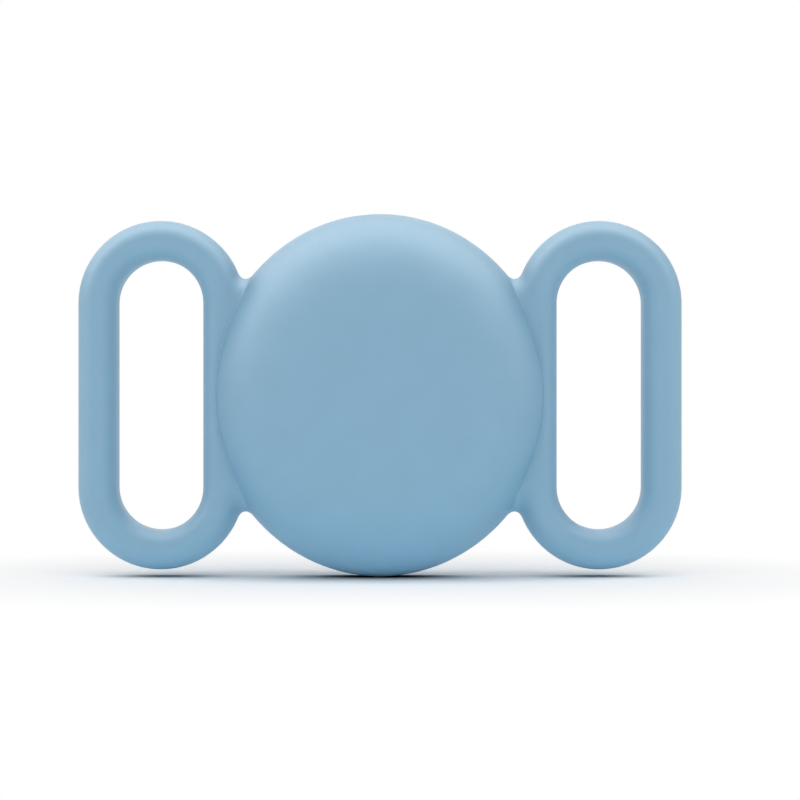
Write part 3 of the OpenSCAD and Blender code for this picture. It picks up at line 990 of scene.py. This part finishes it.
@dataclass(frozen=True)
class Lamp:
    """A soft rectangular lamp that faces the object and shows only in its highlights.

    Its place and size are in millimetres, and its glow is a radiance.
    """

    name: str
    place: Sequence[float]
    size: Sequence[float]
    glow: float

    def hang(self) -> bpy.types.Object:
        """Hangs the lamp.

        Returns:
            The lamp.
        """
        data = bpy.data.lights.new(self.name, "AREA")
        data.shape = "RECTANGLE"
        data.size, data.size_y = (side * MM for side in self.size)
        data.energy = self.glow * math.pi * data.size * data.size_y
        lamp = bpy.data.objects.new(self.name, data)
        bpy.context.scene.collection.objects.link(lamp)
        lamp.location = Vector(self.place) * MM
        lamp.rotation_mode = "QUATERNION"
        back = lamp.location.normalized()
        side = (Vector((1, 0, 0)) - back.x * back).normalized()
        turned = Matrix((side, back.cross(side), back)).transposed()
        lamp.rotation_quaternion = turned.to_quaternion()
        lamp.visible_diffuse = False
        return lamp


@dataclass
class Studio:
    """The floor, the lights and the camera."""

    floor_z: float = -18.70
    floor_size: float = 4000.0
    floor_roughness: float = 0.9
    # How bright the floor is to look at, and how much light it gives back
    floor_seen: float = 1.4
    floor_lit: float = 1.6
    # The painted shadow in the nook under the object, where ambient occlusion darkens the floor's
    # seen colour, each from the front to the back of its turn
    painted_shadow_reach: float = 14.0
    painted_shadow_samples: int = 8
    painted_shadow_from: Sequence[float] = (0.12, 0.3)
    painted_shadow_to: Sequence[float] = (0.72, 0.9)
    painted_shadow_turn: Sequence[float] = (-4.0, 4.0)
    # Where the floor turns to plain white
    clear_x: float = 12.0
    clear_from: float = 11.0
    clear_to: float = 44.0
    # The surroundings' light from the sides, from above and from behind
    side_light: float = 1.27
    sky_light: float = 0.7
    sky_from: float = 0.1
    sky_to: float = 0.7
    back_light: float = 0.6
    back_from: float = -0.5
    back_to: float = 0.3
    lamps: Sequence[Lamp] = (
        Lamp("strip_lamp", (-40, 40, 400), (1200, 440), 3.5),
        Lamp("rim_lamp", (-120, 480, 320), (900, 300), 0.9),
        Lamp("left_lamp", (-620, -60, 240), (360, 400), 1.5),
        Lamp("right_lamp", (620, -60, 240), (360, 400), 1.2),
    )
    camera_distance: float = 260.0
    camera_x: float = 2.06
    camera_z: float = -0.5
    frame_width: float = 82.4
    plane_y: float = -2.9
    sensor: float = 36.0
    clip_near: float = 10.0
    clip_far: float = 10000.0

    def floor(self) -> bpy.types.Object:
        """Lays the white floor, which keeps the object's shadow plus a painted shadow near it, and
        is plain white further off.

        Returns:
            The floor.
        """
        half = self.floor_size / 2 * MM
        z = self.floor_z * MM
        corners = [(-half, -half, z), (half, -half, z), (half, half, z), (-half, half, z)]
        mesh = bpy.data.meshes.new("studio_floor")
        mesh.from_pydata(corners, [], [(0, 1, 2, 3)])
        piece = bpy.data.objects.new("studio_floor", mesh)
        bpy.context.scene.collection.objects.link(piece)
        graph = Graph("studio_floor")
        seen = self.seen(graph)
        tone = (self.floor_lit,) * 3 + (1.0,)
        # Painted shadow: the floor's seen colour darkens where ambient occlusion finds the object
        # near
        painted_occlusion = graph.node("ShaderNodeAmbientOcclusion", Distance=self.painted_shadow_reach * MM)
        painted_occlusion.samples = self.painted_shadow_samples
        way = graph.node("ShaderNodeSeparateXYZ", Vector=graph.place).outputs
        front, back = (place * MM for place in self.painted_shadow_turn)
        start = graph.spread(way["Y"], *self.painted_shadow_from, front, back)
        end = graph.spread(way["Y"], *self.painted_shadow_to, front, back)
        painted_shadow_share = graph.spread(painted_occlusion.outputs["AO"], 0, self.floor_seen, start, end)
        painted_shadow_colour = graph.node("ShaderNodeCombineXYZ", X=painted_shadow_share, Y=painted_shadow_share, Z=painted_shadow_share)
        graph.set(Base_Color=graph.blend(seen, tone, painted_shadow_colour.outputs["Vector"]),
                  Roughness=self.floor_roughness, Specular_IOR_Level=0.0)
        outward = graph.math("SUBTRACT", graph.math("ABSOLUTE", way["X"]), self.clear_x * MM)
        away = graph.length(graph.math("MAXIMUM", outward, 0.0), way["Y"])
        far = graph.spread(away, 0, 1, self.clear_from * MM, self.clear_to * MM)
        white = graph.node("ShaderNodeEmission", Color=(1, 1, 1, 1), Strength=1.0)
        mixed = graph.node("ShaderNodeMixShader")
        graph.feed(mixed.inputs[0], graph.math("MULTIPLY", far, seen))
        graph.feed(mixed.inputs[1], graph.shader.outputs["BSDF"])
        graph.feed(mixed.inputs[2], white.outputs["Emission"])
        output = next(n for n in graph.tree.nodes if n.type == "OUTPUT_MATERIAL")
        graph.feed(output.inputs["Surface"], mixed.outputs["Shader"])
        mesh.materials.append(graph.material)
        return piece

    @staticmethod
    def seen(graph: Graph) -> bpy.types.NodeSocket:
        """Tells whether a surface is seen by the camera, in a reflection or through glass.

        Args:
            graph: The nodes to add to.

        Returns:
            1 where it is seen, and 0 where it only lights other things.
        """
        path = graph.node("ShaderNodeLightPath").outputs
        either = graph.math("MAXIMUM", path["Is Camera Ray"], path["Is Glossy Ray"])
        return graph.math("MAXIMUM", either, path["Is Transmission Ray"])

    def world(self) -> None:
        """Makes the surroundings: white to look at, with a soft light.

        The light is weaker from above, where the strip lamp shines, and from behind.
        """
        world = bpy.data.worlds.new("studio_world")
        bpy.context.scene.world = world
        world.use_nodes = True
        graph = Graph.of_tree(world.node_tree)
        way = graph.node("ShaderNodeSeparateXYZ", Vector=graph.place).outputs
        height = graph.spread(way["Z"], self.side_light, self.sky_light, self.sky_from, self.sky_to)
        behind = graph.spread(way["Y"], 1.0, self.back_light, self.back_from, self.back_to)
        lit = graph.math("MULTIPLY", height, behind)
        seen = self.seen(graph)
        unseen = graph.math("SUBTRACT", 1.0, seen)
        strength = graph.math("ADD", graph.math("MULTIPLY", lit, unseen), seen)
        background = graph.node("ShaderNodeBackground", Color=(1, 1, 1, 1), Strength=strength)
        output = graph.node("ShaderNodeOutputWorld")
        graph.feed(output.inputs["Surface"], background.outputs["Background"])

    def camera(self) -> bpy.types.Object:
        """Sets up the camera at the photograph's viewing angle.

        Returns:
            The camera.
        """
        data = bpy.data.cameras.new("studio_camera")
        data.sensor_width = self.sensor
        data.lens = self.sensor * self.camera_distance / self.frame_width
        data.clip_start, data.clip_end = self.clip_near * MM, self.clip_far * MM
        camera = bpy.data.objects.new("studio_camera", data)
        bpy.context.scene.collection.objects.link(camera)
        aim = Vector((self.camera_x, self.plane_y, self.camera_z))
        back = Vector((0, -1, 0))
        camera.location = (aim + back * self.camera_distance) * MM
        camera.rotation_mode = "QUATERNION"
        camera.rotation_quaternion = (-back).to_track_quat("-Z", "Y")
        bpy.context.scene.camera = camera
        return camera

    def build(self) -> None:
        """Sets up the whole studio."""
        self.world()
        self.floor()
        for lamp in self.lamps:
            lamp.hang()
        self.camera()
        bpy.context.scene.view_settings.view_transform = "Standard"


def main() -> None:
    """Builds the holder, dresses the tag and sets up the studio."""
    logging.basicConfig(level=logging.INFO, format="%(name)s: %(message)s")
    LOG.info("built %s", Holder().build().name)
    for piece in Tag().build():
        LOG.info("dressed %s", piece.name)
    Studio().build()


if __name__ == "__main__":
    main()
